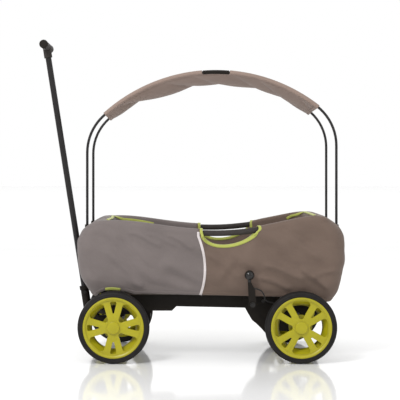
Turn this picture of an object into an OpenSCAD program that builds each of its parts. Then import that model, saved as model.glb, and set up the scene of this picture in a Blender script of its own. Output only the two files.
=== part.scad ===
// Kids pull wagon: fabric tub on a steered four-wheel chassis, pull handle, hooped sun canopy.
// Millimetres. +Z is up, the handle end points to -X, the wagon's left side is -Y.
// The origin is on the ground, at the middle of the whole wagon's length and width.

/* [Wheels] */
// Outer diameter of each tyre
tyre_d = 254; // [200:1:260]
// Overall width across the hub caps
track_w = 560; // [556:1:620]
// Distance between the axles
wheelbase = 660; // [640:1:700]
// Width of a tyre
tyre_w = 42; // [36:1:44]
// Diameter of the axles
axle_d = 12; // [8:1:14]

/* [Tub] */
// Half-width of the fabric at its widest
tub_half_w = 231; // [220:1:232]
// Height of the rim at its lowest, near the middle
rim_low_z = 471; // [440:1:500]
// Rise of the rim from the middle to the front
rim_rise_front = 32; // [0:1:40]
// Rise of the rim from the middle to the rear
rim_rise_rear = 48; // [0:1:60]
// Thickness of the fabric walls
fabric_t = 4; // [3:0.5:4]

/* [Canopy] */
// Height of the top of the hoops
hoop_top_z = 1035; // [900:1:1100]
// Distance from the middle to each hoop
hoop_y = 147; // [120:1:150]
// Diameter of the hoop rods
rod_d = 9.5; // [8:0.5:10]
// Depth of the canopy's sag between the hoops
canopy_sag = 34; // [10:1:50]

/* [Handle] */
// Forward lean of the parked handle, in degrees
handle_lean = 8.95; // [8:0.05:12]
// Distance from the handle's pivot to the middle of its grip
handle_reach = 1014; // [800:1:1050]
// Length of the grip bar
grip_w = 200; // [120:1:240]

/* [Hidden] */
$fn = 64;

// Colours
GREY = [0.51, 0.48, 0.48];
BROWN = [0.48, 0.42, 0.38];
TAUPE = [0.63, 0.56, 0.52];
LIME = [0.76, 0.76, 0.16];
BLACK = [0.12, 0.11, 0.10];
RUBBER = [0.18, 0.18, 0.17];
STEEL = [0.62, 0.63, 0.65];

// Clearances
eps = 0.01;          // overshoot of a cutter through a face
running = 0.05;      // radial clearance of a shaft in its bore
gap = 0.4;           // face-to-face gap between bodies that turn past each other

// Wheels
axle_z = tyre_d / 2;
axle_r = axle_d / 2;
wheel_out_y = track_w / 2;             // outer face of the hub caps
wheel_y = wheel_out_y - 2 - tyre_w / 2; // middle of a tyre
rim_seat_r = axle_z - 22;              // where the tyre sits on the rim
bush_r = axle_r + 3.5;
hub_r = 22;
axle_end_y = wheel_out_y - 5;

// The handle leans forward from its pivot, which sets how far the grip reaches in front of the axle
pivot_ahead = 107;                     // pivot in front of the front axle
pivot_z = 140;
pivot_r = 5;
shaft_tube_r = 11;
grip_r = 16;
grip_ahead = pivot_ahead + handle_reach * sin(handle_lean);
grip_z = pivot_z + handle_reach * cos(handle_lean);

// Reach of the whole wagon from the front axle, which places the origin
tub_rear_reach = wheelbase + 160;      // rearmost point of the tub
front_axle_x = (grip_ahead + grip_r - tub_rear_reach) / 2;
rear_axle_x = front_axle_x + wheelbase;
pivot_x = front_axle_x - pivot_ahead;

// Chassis
rail_out_y = 145;
rail_t = 25;
rail_top_z = 235;
block_low_z = 172;
block_front_x = front_axle_x - 50;
turntable_r = 85;
ring_t = 7;
kingpin_r = 8;
board_z = rail_top_z;
board_t = 8;
pad_t = 15;
board_half_w = 195;
board_front_x = front_axle_x - 36;
board_rear_x = rear_axle_x + 70;

// Tub
front_panel_x = front_axle_x - 60;     // top edge of the front end
rear_panel_x = rear_axle_x + 85;       // top edge of the rear end
front_bulge = 70;                      // swell of the front end past its rim
front_hem_out = 20;                    // and how far its hem stands out
rear_swell = 49.5;                     // the rear wall stands out by this,
rear_lean = 40;                        // leans back by this over its height,
rear_tuck = 23.5;                      // and is drawn back in at the hem
corner_r = 60;
hem_tuck = 29;                         // the hem is drawn in, which clears the steered wheels
seam_gap = 0.003;                      // opening between neighbouring walls, in steps of s
front_recess = 20;                     // hollow in the front end that clears the swinging handle
recess_half_w = 130;
rim_mid_x = front_axle_x + 359;
arch_r = axle_z + 11;                  // cut-out over each front wheel
slot_x = front_axle_x + 395;           // deepest point of the hand slot under the rim
slot_front_l = 83;                     // from there to the slot's front end
slot_rear_l = 122;                     // and to its rear end
slot_depth = 65;
slot_mid_x = slot_x + (slot_rear_l - slot_front_l) / 2;
slot_half_l = (slot_rear_l + slot_front_l) / 2;
rim_y = 213;
rim_r = 9;
rim_drop = 15;                         // from the fabric's top edge to the middle of the rim tube
rim_joint = 2.2;                       // from each end of a rim tube to the end frame it meets
rail_grip_r = 10.5;
post_y = 165;                          // upright of an end frame
frame_r = 8;

// Canopy hoops: two upright legs, two shoulders and one long top arc
top_arc_r = 600;
shoulder_r = 180;
hoop_front_x = front_axle_x - 101;
hoop_rear_x = front_axle_x + 799;
hoop_mid_x = front_axle_x + 364;
top_arc_z = hoop_top_z - top_arc_r;
rod_r = rod_d / 2;
leg_low_z = 446;
socket_top_z = 484;
front_turn = acos((hoop_front_x + shoulder_r - hoop_mid_x) / (top_arc_r - shoulder_r));
rear_turn = acos((hoop_rear_x - shoulder_r - hoop_mid_x) / (top_arc_r - shoulder_r));
canopy_from = 52;
canopy_to = 132;
joiner_half = 4.5;                     // half-angle of each hoop joiner
sleeve_t = 3;

// Brake
lever_x = front_axle_x + 490;
lever_z = 206;
lever_y = -250.5;
knob_r = 17.5;
knob_x = front_axle_x + 479;
knob_z = 310;
peg_r = 5;
peg_z = axle_z + 35;
peg_end_y = 220;
shaft_r = 5;
// Route of the brake cable: from the lever, in under the hem and back to the left bracket
CABLE = [[12, -250, 262], [20, -250, 260], [28, -249, 256], [35, -246, 249], [40, -243, 240],
    [43, -239, 230], [46, -232, 222], [52, -222, 216], [62, -208, 211], [76, -192, 206],
    [92, -178, 199], [108, -168, 190], [122, -163, 181], [136, -161, 173], [150, -160, 167]];

// ---------- helpers ----------

// A rod along Y from y0 to y1
module y_rod(x, z, y0, y1, r) {
    translate([x, y0, z]) rotate([-90, 0, 0]) cylinder(r = r, h = y1 - y0);
}

// A straight rod between two points
module rod_between(a, b, r) {
    d = b - a;
    translate(a) rotate([0, acos(d.z / norm(d)), atan2(d.y, d.x)]) cylinder(r = r, h = norm(d));
}

// An outline in X and Z, extruded from y0 to y1
module plate_xz(y0, y1) {
    translate([0, y1, 0]) rotate([90, 0, 0]) linear_extrude(y1 - y0) children();
}

function unit(v) = v / norm(v);
function ring(p, t, r, sides, across) =
    let (side = unit(cross(t, across)), up = cross(side, t))
    [for (k = [0:sides - 1]) p + r * (side * cos(k * 360 / sides) + up * sin(k * 360 / sides))];
function tangent(path, i) = unit(path[min(i + 1, len(path) - 1)] - path[max(i - 1, 0)]);

// A closed tube along a path of points, which nowhere runs along the direction "across"
module tube_along(path, r, sides, across = [0, 1, 0]) {
    n = len(path);
    points = [for (i = [0:n - 1]) each ring(path[i], tangent(path, i), r, sides, across)];
    walls = [for (i = [0:n - 2], k = [0:sides - 1]) let (m = (k + 1) % sides)
        [i * sides + k, i * sides + m, (i + 1) * sides + m, (i + 1) * sides + k]];
    first = [for (k = [sides - 1:-1:0]) k];
    last = [for (k = [0:sides - 1]) (n - 1) * sides + k];
    polyhedron(points, concat([first], walls, [last]), convexity = 6);
}

// ---------- the tub's surface ----------

function clamp(x, low, high) = min(max(x, low), high);
function end_swell(v, peak, low_exp, top_exp) =
    1 - pow(abs(v - peak) / (v < peak ? peak : 1 - peak), v < peak ? low_exp : top_exp);
function front_x(v) =
    front_panel_x - front_hem_out * pow(1 - v, 2) - front_bulge * end_swell(v, 0.62, 2.2, 3.5);
function rear_x(v) =
    rear_panel_x + rear_swell + rear_lean * v - rear_tuck * pow(max(0, 1 - v / 0.25), 2.2)
    - (rear_swell + rear_lean) * pow(max(0, (v - 0.55) / 0.45), 3.2);
function half_w(v) = tub_half_w - hem_tuck * pow(1 - v, 6) - 2 * pow(v, 4);
function seam_x(v) = front_axle_x + 307 + 78 * v - 98 * v * v;
function rise(t, swell) = t * t * (1 + swell * (1 - t * t));
function rim_z(x) =
    let (u = clamp(x, front_panel_x, rear_panel_x) - rim_mid_x)
    rim_low_z + (u < 0 ? rim_rise_front * rise(u / 419, 1.25) : rim_rise_rear * rise(u / 386, 0.7));
function hem_z(x) =
    let (u = clamp(x - front_axle_x, -79, 758))
    u < 107 ? 230 + 11 * (u + 79) / 186
    : u < 614 ? 241 - 11 * (u - 107) / 507
    : 230 - 20 * pow((u - 614) / 144, 2);
function rim_tube_z(x) = rim_z(x) - rim_drop;
function rim_path(y, x0, x1, n) = [for (i = [0:n]) let (x = x0 + (x1 - x0) * i / n) [x, y, rim_tube_z(x)]];
function recess(y) = front_recess * max(0, 1 - pow(y / recess_half_w, 2));

// Outline at height v (0 hem, 1 rim). s runs 0 to 1 across half the front, 1 to 2 round the corner,
// 2 to 3 to the seam, 3 to 4 behind it, 4 to 5 round the rear corner and 5 to 6 across half the rear.
function plan(s, v) =
    let (w = half_w(v), flat = w - corner_r)
    s < 1 ? [front_x(v) + recess(s * flat), s * flat]
    : s < 2 ? [front_x(v) + corner_r * (1 - cos((s - 1) * 90)), flat + corner_r * sin((s - 1) * 90)]
    : s < 3 ? [front_x(v) + corner_r + (s - 2) * (seam_x(v) - front_x(v) - corner_r), w]
    : s < 4 ? [seam_x(v) + (s - 3) * (rear_x(v) - corner_r - seam_x(v)), w]
    : s < 5 ? [rear_x(v) - corner_r * (1 - sin((s - 4) * 90)), flat + corner_r * cos((s - 4) * 90)]
    : [rear_x(v), (6 - s) * flat];
// Below 0 and past 6 the outline goes on as its own mirror image
function tub_point(s, v) =
    let (mirrored = s < 0 || s > 6, p = plan(s < 0 ? -s : s > 6 ? 12 - s : s, v))
    [p.x, mirrored ? -p.y : p.y, hem_z(p.x) + v * (rim_z(p.x) - hem_z(p.x))];
function tub_normal(s, v, d = 0.02) =
    let (ds = tub_point(s + d, v) - tub_point(s - d, v),
        dv = tub_point(s, min(v + d, 1)) - tub_point(s, max(v - d, 0)))
    unit(cross(ds, dv));

// A closed fabric wall between s0 and s1, with ns by nv quads on each face
module tub_wall(s0, s1, ns, nv) {
    outer = [for (i = [0:ns], j = [0:nv]) tub_point(s0 + (s1 - s0) * i / ns, j / nv)];
    inner = [for (i = [0:ns], j = [0:nv]) let (s = s0 + (s1 - s0) * i / ns, v = j / nv)
        tub_point(s, v) + fabric_t * tub_normal(s, v)];
    m = nv + 1;
    k = len(outer);
    skins = [for (i = [0:ns - 1], j = [0:nv - 1]) let (a = i * m + j)
        each [[a, a + m, a + m + 1, a + 1], [k + a, k + a + 1, k + a + m + 1, k + a + m]]];
    hems = [for (i = [0:ns - 1]) let (a = i * m, b = a + nv)
        each [[a + m, a, k + a, k + a + m], [b, b + m, k + b + m, k + b]]];
    ends = [for (j = [0:nv - 1]) let (b = ns * m + j)
        each [[j, j + 1, k + j + 1, k + j], [b + 1, b, k + b, k + b + 1]]];
    polyhedron(concat(outer, inner), concat(skins, hems, ends), convexity = 8);
}

function slot_drop(u, power) = -slot_depth * pow(1 - pow(u, power), 1 / power);
// Cutters for the arch over a front wheel and for the hand slot, on the right side
module arch_cutter() {
    y_rod(front_axle_x, axle_z, 190, 260, arch_r);
}
module slot_cutter() {
    front = [for (u = [1:-0.1:0.05]) [slot_x - slot_front_l * u, slot_drop(u, 2.4)]];
    rear = [for (u = [0:0.1:1.01]) [slot_x + slot_rear_l * u, slot_drop(min(u, 1), 1.85)]];
    over = [[slot_x + slot_rear_l, 60], [slot_x - slot_front_l, 60]];
    translate([0, 260, 0]) rotate([90, 0, 0]) linear_extrude(90)
        polygon([for (p = concat(front, rear, over)) [p.x, rim_z(p.x) + p.y]]);
}
module leg_cutter(x) {
    for (y = [-hoop_y, hoop_y]) translate([x, y, socket_top_z - 60]) cylinder(r = rod_r + 5, h = 120);
}

// ---------- chassis ----------

module side_rail() {
    color(BLACK) difference() {
        plate_xz(rail_out_y - rail_t, rail_out_y) polygon([
            [block_front_x, rail_top_z], [block_front_x, block_low_z],
            [front_axle_x + 205, block_low_z], [front_axle_x + 221, block_low_z + 16],
            [rear_axle_x + 40, block_low_z + 6], [rear_axle_x + 60, 208],
            [rear_axle_x + 86, 212], [rear_axle_x + 86, rail_top_z]]);
        y_rod(lever_x, lever_z, 100, 160, shaft_r + running);
    }
}
module left_side_rail() { mirror([0, 1, 0]) side_rail(); }
module right_side_rail() { side_rail(); }

// The block between the rails that carries the kingpin, with the upper turntable ring under it
module turntable_block() {
    w = rail_out_y - rail_t;
    color(BLACK) difference() {
        union() {
            translate([block_front_x, -w, block_low_z])
                cube([200, 2 * w, rail_top_z - block_low_z]);
            translate([front_axle_x, 0, block_low_z - ring_t]) cylinder(r = turntable_r, h = ring_t);
        }
        translate([front_axle_x, 0, 150]) cylinder(r = kingpin_r + running, h = 60);
        translate([front_axle_x, 0, 200]) cylinder(r = 18, h = 60);
        translate([front_axle_x + 40, -w + 12, block_low_z + 12]) cube([98, 2 * w - 24, 80]);
    }
}

module cross_members() {
    w = rail_out_y - rail_t;
    color(BLACK) for (x = [front_axle_x + 330, rear_axle_x - 10])
        translate([x, -w, 196]) difference() {
            cube([36, 2 * w, 36]);
            translate([3, -eps, 3]) cube([30, 2 * w + 2 * eps, 30]);
        }
}

module rear_bracket() {
    color(BLACK) difference() {
        union() {
            plate_xz(rail_out_y, rail_out_y + 6) polygon([
                [rear_axle_x - 198, 222], [rear_axle_x - 198, 196], [rear_axle_x - 182, 166],
                [rear_axle_x - 166, 139], [rear_axle_x - 151, 127], [rear_axle_x - 122, 99],
                [rear_axle_x + 22, 99], [rear_axle_x + 50, 190], [rear_axle_x + 50, 222]]);
            y_rod(rear_axle_x, axle_z, rail_out_y - 20, rail_out_y + 14, 17);
            y_rod(rear_axle_x, peg_z, rail_out_y, rail_out_y + 14, 10);
        }
        y_rod(rear_axle_x, axle_z, 100, 170, axle_r);
        y_rod(rear_axle_x, peg_z, 100, 170, peg_r + running);
        y_rod(lever_x, lever_z, 100, 170, shaft_r + running);
    }
}
module rear_left_bracket() { mirror([0, 1, 0]) rear_bracket(); }
module rear_right_bracket() { rear_bracket(); }

module axle(x) {
    color(STEEL) y_rod(x, axle_z, -axle_end_y, axle_end_y, axle_r);
}
module rear_axle() { axle(rear_axle_x); }

module floor_board() {
    color(BROWN) translate([board_front_x, -board_half_w, board_z])
        cube([board_rear_x - board_front_x, 2 * board_half_w, board_t]);
}
module floor_pad() {
    color(GREY) translate([board_front_x + 10, -board_half_w + 5, board_z + board_t])
        cube([board_rear_x - board_front_x - 20, 2 * board_half_w - 10, pad_t]);
}

// A frame at each end of the tub: a foot tube, two posts and a bent top rail between the rim tubes.
// dir is -1 at the front and 1 at the rear; end_x is the tub's top edge there.
function end_rail(end_x, dir, inset) =
    let (cx = end_x - dir * corner_r, cy = half_w(1) - corner_r, ry = rim_y - cy, rx = corner_r - inset,
        quarter = [for (a = [0:15:90]) [cx + dir * rx * sin(a), cy + ry * cos(a)]])
    [for (p = concat(quarter, [for (i = [len(quarter) - 1:-1:0]) [quarter[i].x, -quarter[i].y]]))
        [p.x, p.y, rim_tube_z(end_x)]];
module end_frame(foot_x, end_x, dir, inset) {
    foot_z = rail_top_z + frame_r;
    top_x = end_x - dir * inset;
    color(BLACK) {
        for (side = [-1, 1])
            rod_between([foot_x, side * post_y, foot_z],
                [top_x, side * post_y, rim_tube_z(end_x)], frame_r);
        tube_along(end_rail(end_x, dir, inset), frame_r, 16, [0, 0, 1]);
        y_rod(foot_x, foot_z - 0.5, -post_y - frame_r, post_y + frame_r, frame_r - 0.5);
    }
}
module front_end_frame() { end_frame(front_axle_x - 46, front_panel_x, -1, 31); }
module rear_end_frame() { end_frame(rear_axle_x + 79, rear_panel_x, 1, 20); }

module rim_tube(side) {
    reach = corner_r + rim_joint;
    path = rim_path(side * rim_y, front_panel_x + reach, rear_panel_x - reach, 26);
    color(BLACK) tube_along(path, rim_r, 12);
}
module left_rim_tube() { rim_tube(-1); }
module right_rim_tube() { rim_tube(1); }

module rail_grip(side) {
    half = slot_half_l - 4;
    color(BLACK) difference() {
        tube_along(rim_path(side * rim_y, slot_mid_x - half, slot_mid_x + half, 10), rail_grip_r, 16);
        tube_along(rim_path(side * rim_y, slot_mid_x - half - 5, slot_mid_x + half + 5, 10), rim_r + 0.2, 12);
    }
}
module left_rail_grip() { rail_grip(-1); }
module right_rail_grip() { rail_grip(1); }

module hoop_sockets() {
    color(BLACK) for (x = [hoop_front_x, hoop_rear_x], side = [-1, 1])
        translate([x, side * hoop_y, leg_low_z - 6]) difference() {
            union() {
                cylinder(r = 8.5, h = socket_top_z - leg_low_z + 6);
                translate([x < 0 ? 0 : -28, -4, 8]) cube([28, 8, 24]);
            }
            translate([0, 0, 5.9]) cylinder(r = rod_r + running, h = 60);
        }
}

module frame_bolts() {
    color(STEEL) for (side = [-1, 1], dx = [-125, -60, 35])
        y_rod(rear_axle_x + dx, 208, side > 0 ? rail_out_y + 6 : -rail_out_y - 11,
            side > 0 ? rail_out_y + 11 : -rail_out_y - 6, 6.5);
}

// ---------- tub ----------

module right_front_panel() {
    color(GREY) difference() {
        tub_wall(2 + seam_gap, 3 - seam_gap, 22, 12);
        arch_cutter();
    }
}
module left_front_panel() { mirror([0, 1, 0]) right_front_panel(); }

module right_rear_panel() {
    color(BROWN) difference() {
        tub_wall(3, 4 - seam_gap, 26, 12);
        slot_cutter();
    }
}
module left_rear_panel() { mirror([0, 1, 0]) right_rear_panel(); }

module front_end_panel() {
    color(GREY) difference() {
        tub_wall(-2, 2, 36, 14);
        for (side = [0, 1]) mirror([0, side, 0]) arch_cutter();
        leg_cutter(hoop_front_x);
    }
}
module rear_end_panel() {
    color(BROWN) difference() {
        tub_wall(4, 8, 32, 14);
        leg_cutter(hoop_rear_x);
    }
}

// ---------- front carriage and handle ----------

// The lower half of the turntable, with a tail behind it that strengthens it
module turntable_plate() {
    top = block_low_z - ring_t - gap;
    beam_top = axle_z + 10;
    color(BLACK) translate([front_axle_x, 0, 0]) difference() {
        union() {
            translate([0, 0, top - 14]) cylinder(r = turntable_r, h = 14);
            translate([0, 0, beam_top]) cylinder(r = 30, h = top - beam_top);
            translate([60, -40, top - 14]) cube([70, 80, 14]);
            translate([108, -40, top - 32]) cube([16, 80, 20]);
        }
        translate([0, 0, 120]) cylinder(r = kingpin_r, h = 60);
    }
}

module axle_beam() {
    color(BLACK) difference() {
        translate([front_axle_x - 20, -176, axle_z - 17]) cube([40, 352, 27]);
        y_rod(front_axle_x, axle_z, -200, 200, axle_r);
        translate([front_axle_x, 0, 100]) cylinder(r = kingpin_r, h = 60);
    }
}
module front_axle() { axle(front_axle_x); }

// The kingpin stands on the axle beam and is held above the block by its head
module kingpin() {
    color(STEEL) translate([front_axle_x, 0, 0]) {
        translate([0, 0, axle_z + axle_r]) cylinder(r = kingpin_r, h = 200 + gap - axle_z - axle_r);
        translate([0, 0, 200 + gap]) cylinder(r = 14, h = 7);
    }
}

module drawbar_fork() {
    color(BLACK) difference() {
        union() {
            translate([front_axle_x - 80, -24, axle_z - 12]) cube([60, 48, 22]);
            for (side = [-1, 1]) {
                plate_xz(side * 20 - 4, side * 20 + 4) hull() {
                    translate([pivot_x, pivot_z]) circle(15);
                    translate([front_axle_x - 60, axle_z - 2]) circle(10);
                }
            }
        }
        y_rod(pivot_x, pivot_z, -40, 40, pivot_r);
    }
}
module handle_pivot_bolt() {
    color(STEEL) {
        y_rod(pivot_x, pivot_z, -25, 25, pivot_r);
        for (y = [-31, 25]) y_rod(pivot_x, pivot_z, y, y + 6, 8);
    }
}

// Places its children along the handle: +Z runs up the shaft from the pivot
module on_handle() {
    translate([pivot_x, 0, pivot_z]) rotate([0, -handle_lean, 0]) children();
}
module handle_socket() {
    color(BLACK) on_handle() difference() {
        union() {
            rotate([-90, 0, 0]) translate([0, 0, -15.5]) cylinder(r = 15, h = 31);
            cylinder(r = 15.5, h = 104);
            translate([0, 0, 96]) cylinder(r = 18, h = 14);
        }
        rotate([-90, 0, 0]) translate([0, 0, -30]) cylinder(r = pivot_r + running, h = 60);
        translate([0, 0, 22]) cylinder(r = shaft_tube_r, h = 120);
        translate([0, 0, 86]) rotate([-90, 0, 0]) translate([0, 0, -30]) cylinder(r = 3, h = 60);
    }
}
module handle_tube() {
    color(BLACK) on_handle() difference() {
        translate([0, 0, 22]) cylinder(r = shaft_tube_r, h = handle_reach - 22 - grip_r + 3);
        translate([0, 0, 22 - eps]) cylinder(r = shaft_tube_r - 1.5, h = handle_reach - 60);
        translate([0, 0, 86]) rotate([-90, 0, 0]) translate([0, 0, -30]) cylinder(r = 3, h = 60);
    }
}
module grip_bar() {
    color(RUBBER) on_handle() translate([0, 0, handle_reach]) difference() {
        union() {
            rotate([-90, 0, 0]) translate([0, 0, -grip_w / 2 + 8])
                cylinder(r = grip_r - 0.5, h = grip_w - 16);
            translate([0, 0, -42]) cylinder(r = 15, h = 34);
        }
        translate([0, 0, -60]) cylinder(r = shaft_tube_r, h = 60 - grip_r + 3);
    }
}
module grip_caps() {
    color(BLACK) on_handle() translate([0, 0, handle_reach]) for (side = [0, 1]) mirror([0, side, 0])
        rotate([-90, 0, 0]) translate([0, 0, grip_w / 2 - 8]) rotate_extrude() polygon([
            [0, 0], [grip_r, 0], [grip_r, 4], [grip_r - 1.2, 6.8], [grip_r - 4, 8], [0, 8]]);
}
module socket_bolt() {
    color(STEEL) on_handle() translate([0, 0, 86]) rotate([-90, 0, 0]) {
        translate([0, 0, -16]) cylinder(r = 3, h = 32);
        for (z = [-20, 16]) translate([0, 0, z]) cylinder(r = 5.5, h = 4);
    }
}

// ---------- brake ----------

module brake_arm() {
    color(BLACK) difference() {
        translate([0, lever_y + 4, 0]) rotate([90, 0, 0]) linear_extrude(8) difference() {
            hull() {
                translate([lever_x, lever_z]) circle(13);
                translate([lever_x - 1, lever_z + 48]) circle(10);
                translate([knob_x - 6, knob_z - 27]) square([12, 2]);
            }
            translate([lever_x, lever_z]) circle(shaft_r);
        }
        y_rod(lever_x, lever_z, lever_y - 20, lever_y + 20, shaft_r);
    }
}
module brake_knob() {
    color(BLACK) {
        translate([knob_x, lever_y, knob_z]) sphere(knob_r);
        translate([knob_x, lever_y, knob_z - 25]) cylinder(r = 6, h = 12);
    }
}
module brake_shaft() {
    color(STEEL) {
        y_rod(lever_x, lever_z, lever_y - 5, rail_out_y + 8, shaft_r);
        for (y = [lever_y - 9, rail_out_y + 7]) y_rod(lever_x, lever_z, y, y + 5, 9);
    }
}
module brake_peg() {
    color(STEEL) y_rod(rear_axle_x, peg_z, 128, peg_end_y, peg_r);
}
module left_brake_peg() { mirror([0, 1, 0]) brake_peg(); }
module right_brake_peg() { brake_peg(); }

module brake_cable() {
    color(BLACK) tube_along([for (p = CABLE) [lever_x + p.x, p.y, p.z]], 2.5, 8, [0, 0, 1]);
}

// ---------- canopy ----------

function arc_path(x, y, z, bend_r, a0, a1, n) =
    [for (i = [0:n]) let (a = a0 + (a1 - a0) * i / n) [x + bend_r * cos(a), y, z + bend_r * sin(a)]];
module hoop(side) {
    y = side * hoop_y;
    rise = top_arc_r - shoulder_r;
    front_z = top_arc_z + rise * sin(front_turn);
    rear_z = top_arc_z + rise * sin(rear_turn);
    front = arc_path(hoop_front_x + shoulder_r, y, front_z, shoulder_r, 180, front_turn, 10);
    top = arc_path(hoop_mid_x, y, top_arc_z, top_arc_r, front_turn - 2, rear_turn + 2, 40);
    rear = arc_path(hoop_rear_x - shoulder_r, y, rear_z, shoulder_r, rear_turn, 0, 10);
    path = concat([[hoop_front_x, y, leg_low_z]], front, top, rear, [[hoop_rear_x, y, leg_low_z]]);
    color(BLACK) tube_along(path, rod_r, 16);
}
module left_hoop() { hoop(-1); }
module right_hoop() { hoop(1); }

module hoop_joiners() {
    color(BLACK) for (side = [-1, 1]) translate([hoop_mid_x, side * hoop_y, top_arc_z]) rotate([90, 0, 0])
        rotate([0, 0, 90 - joiner_half]) rotate_extrude(angle = 2 * joiner_half, $fn = 240)
            translate([top_arc_r, 0]) difference() {
                circle(rod_r + 2.5, $fn = 32);
                circle(rod_r + 0.3, $fn = 32);
            }
}

// A band of fabric that sags between the two hoops and is sewn round each as a sleeve
module canopy_fabric() {
    half = hoop_y - rod_r - sleeve_t / 2;
    steps = 12;
    sag = [for (i = [-steps:steps]) let (u = i / steps) [top_arc_r - canopy_sag * (1 - u * u), half * u]];
    upper = [for (p = sag) p + [1.5, 0]];
    lower = [for (i = [2 * steps:-1:0]) sag[i] - [1.5, 0]];
    color(TAUPE) difference() {
        translate([hoop_mid_x, 0, top_arc_z]) rotate([90, 0, 0]) rotate([0, 0, canopy_from])
            rotate_extrude(angle = canopy_to - canopy_from, $fn = 240) difference() {
                union() {
                    polygon(concat(upper, lower));
                    for (side = [-1, 1]) translate([top_arc_r, side * hoop_y])
                        circle(rod_r + sleeve_t, $fn = 32);
                }
                for (side = [-1, 1]) translate([top_arc_r, side * hoop_y]) circle(rod_r + 0.3, $fn = 32);
            }
        for (side = [-1, 1])
            translate([hoop_mid_x - 52, side * hoop_y - 10, hoop_top_z - 15]) cube([104, 20, 40]);
    }
}

// ---------- wheels ----------

// Wheels are drawn on their own axis, with +Z towards the outer face, then stood in place
module at_wheel(x, side) {
    translate([x, side * wheel_y, axle_z]) rotate([-90 * side, 0, 0]) children();
}
module tyre(x, side) {
    w = tyre_w / 2;
    color(RUBBER) at_wheel(x, side) rotate_extrude() polygon([
        [rim_seat_r, -w + 4], [rim_seat_r + 3, -w + 1], [rim_seat_r + 8, -w], [axle_z - 7, -w + 1],
        [axle_z - 2.5, -w + 5], [axle_z - 0.6, -w + 11], [axle_z, 0], [axle_z - 0.6, w - 11],
        [axle_z - 2.5, w - 5], [axle_z - 7, w - 1], [rim_seat_r + 8, w], [rim_seat_r + 3, w - 1],
        [rim_seat_r, w - 4]]);
}
// A wedge with round corners that opens outwards from radius r0 to r1
module wedge(r0, w0, r1, w1, corner) {
    polygon(concat(
        [for (a = [90:22.5:270]) [r0 + w0 / 2 + w0 / 2 * cos(a), w0 / 2 * sin(a)]],
        [for (a = [-90:22.5:0]) [r1 - corner + corner * cos(a), corner - w1 / 2 + corner * sin(a)]],
        [for (a = [0:22.5:90]) [r1 - corner + corner * cos(a), w1 / 2 - corner + corner * sin(a)]]));
}
module spoke_windows() {
    for (a = [0:90:270]) {
        rotate(a + 45) wedge(30, 20, 93, 64, 14);
        rotate(a) wedge(50, 6, 92, 22, 6);
    }
}
module rim(x, side, turn) {
    color(LIME) at_wheel(x, side) difference() {
        union() {
            rotate_extrude() polygon([
                [rim_seat_r - 8, -18], [rim_seat_r, -18], [rim_seat_r, 17], [rim_seat_r + 2, 19],
                [rim_seat_r + 2, 21], [rim_seat_r - 2, 22], [rim_seat_r - 8, 19]]);
            translate([0, 0, 6]) linear_extrude(9) difference() {
                circle(rim_seat_r - 4);
                rotate(turn) spoke_windows();
            }
            translate([0, 0, -24]) cylinder(r = hub_r, h = 43);
            translate([0, 0, -24]) cylinder(r = 42, h = 4);
            for (a = [11.25:45:360]) rotate(a) rotate_extrude(angle = 22.5)
                translate([29, -33]) square([11, 10]);
        }
        translate([0, 0, -50]) cylinder(r = bush_r, h = 100);
    }
}
module bushing(x, side) {
    color(BLACK) at_wheel(x, side) difference() {
        translate([0, 0, -26]) cylinder(r = bush_r, h = 44);
        translate([0, 0, -50]) cylinder(r = axle_r + running, h = 100);
    }
}
module hub_cap(x, side) {
    color(LIME) at_wheel(x, side) difference() {
        rotate_extrude() polygon([
            [0, 19], [hub_r, 19], [hub_r, 20.5], [hub_r - 1.2, 22.2], [hub_r - 4, 23], [0, 23]]);
        translate([0, 0, 18]) cylinder(r = 12, h = 3);
    }
}

module front_left_tyre() { tyre(front_axle_x, -1); }
module front_left_rim() { rim(front_axle_x, -1, 0); }
module front_left_bushing() { bushing(front_axle_x, -1); }
module front_left_hub_cap() { hub_cap(front_axle_x, -1); }
module front_right_tyre() { tyre(front_axle_x, 1); }
module front_right_rim() { rim(front_axle_x, 1, 0); }
module front_right_bushing() { bushing(front_axle_x, 1); }
module front_right_hub_cap() { hub_cap(front_axle_x, 1); }
module rear_left_tyre() { tyre(rear_axle_x, -1); }
module rear_left_rim() { rim(rear_axle_x, -1, 45); }
module rear_left_bushing() { bushing(rear_axle_x, -1); }
module rear_left_hub_cap() { hub_cap(rear_axle_x, -1); }
module rear_right_tyre() { tyre(rear_axle_x, 1); }
module rear_right_rim() { rim(rear_axle_x, 1, 45); }
module rear_right_bushing() { bushing(rear_axle_x, 1); }
module rear_right_hub_cap() { hub_cap(rear_axle_x, 1); }

left_side_rail();
right_side_rail();
turntable_block();
cross_members();
rear_left_bracket();
rear_right_bracket();
rear_axle();
floor_board();
floor_pad();
front_end_frame();
rear_end_frame();
left_rim_tube();
right_rim_tube();
left_rail_grip();
right_rail_grip();
hoop_sockets();
left_front_panel();
right_front_panel();
front_end_panel();
left_rear_panel();
right_rear_panel();
rear_end_panel();
brake_cable();
frame_bolts();
turntable_plate();
axle_beam();
front_axle();
kingpin();
drawbar_fork();
handle_pivot_bolt();
handle_socket();
handle_tube();
grip_bar();
grip_caps();
socket_bolt();
brake_arm();
brake_knob();
brake_shaft();
left_brake_peg();
right_brake_peg();
left_hoop();
right_hoop();
hoop_joiners();
canopy_fabric();
front_left_tyre();
front_left_rim();
front_left_bushing();
front_left_hub_cap();
front_right_tyre();
front_right_rim();
front_right_bushing();
front_right_hub_cap();
rear_left_tyre();
rear_left_rim();
rear_left_bushing();
rear_left_hub_cap();
rear_right_tyre();
rear_right_rim();
rear_right_bushing();
rear_right_hub_cap();
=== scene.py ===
"""Looks for a kids' fabric pull wagon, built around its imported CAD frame. Metres, +Z up, front at -X."""

import math

import bpy
import bmesh
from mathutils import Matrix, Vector, noise


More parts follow.
